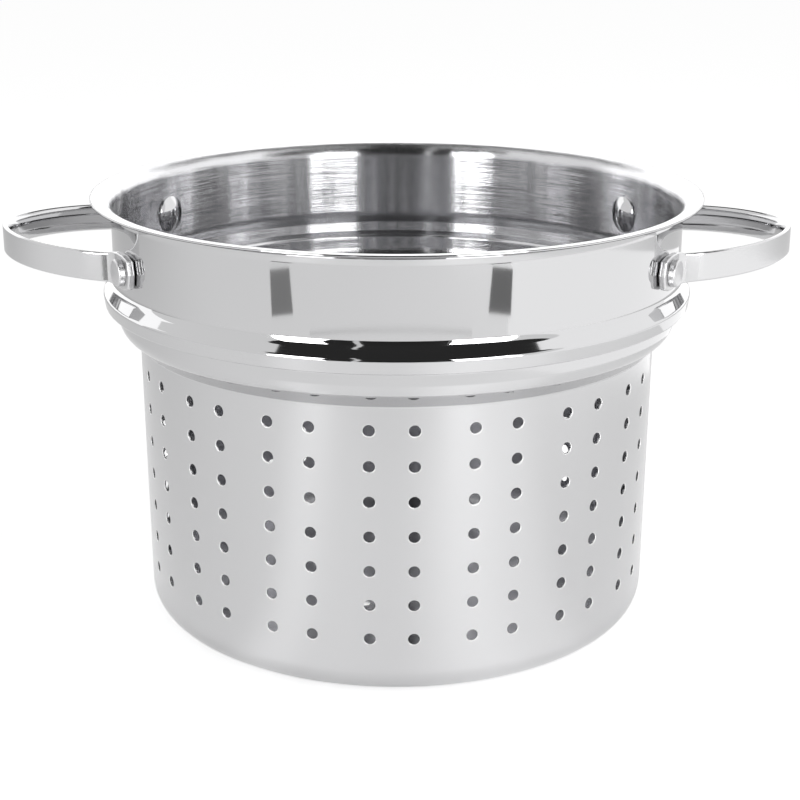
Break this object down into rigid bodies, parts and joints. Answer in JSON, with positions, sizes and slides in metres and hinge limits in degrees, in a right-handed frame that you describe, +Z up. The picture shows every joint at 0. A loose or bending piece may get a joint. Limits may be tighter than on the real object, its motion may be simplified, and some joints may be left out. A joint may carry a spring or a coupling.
{
  "type": "pasta strainer insert",
  "caption": "Perforated steel strainer insert with flared rim, outward bead, stepped shoulder and riveted strip handles.",
  "frame": {"origin": "centre of the base's underside", "axes": "+Z up along the vessel's axis, +X through the right handle, -Y towards the picture's camera"},
  "size_m": [0.3368, 0.2582, 0.1832],
  "materials": {
    "vessel_steel": "stainless steel, mirror polished outside and circularly brushed inside",
    "handle_steel": "polished stainless steel strip",
    "rivet_steel": "polished stainless steel"
  },
  "bodies": {
    "root": {"strainer_vessel": "vessel_steel", "handle_left": "handle_steel", "handle_right": "handle_steel", "rivet_left_front": "rivet_steel", "rivet_left_back": "rivet_steel", "rivet_right_front": "rivet_steel", "rivet_right_back": "rivet_steel"}
  },
  "joints": []
}
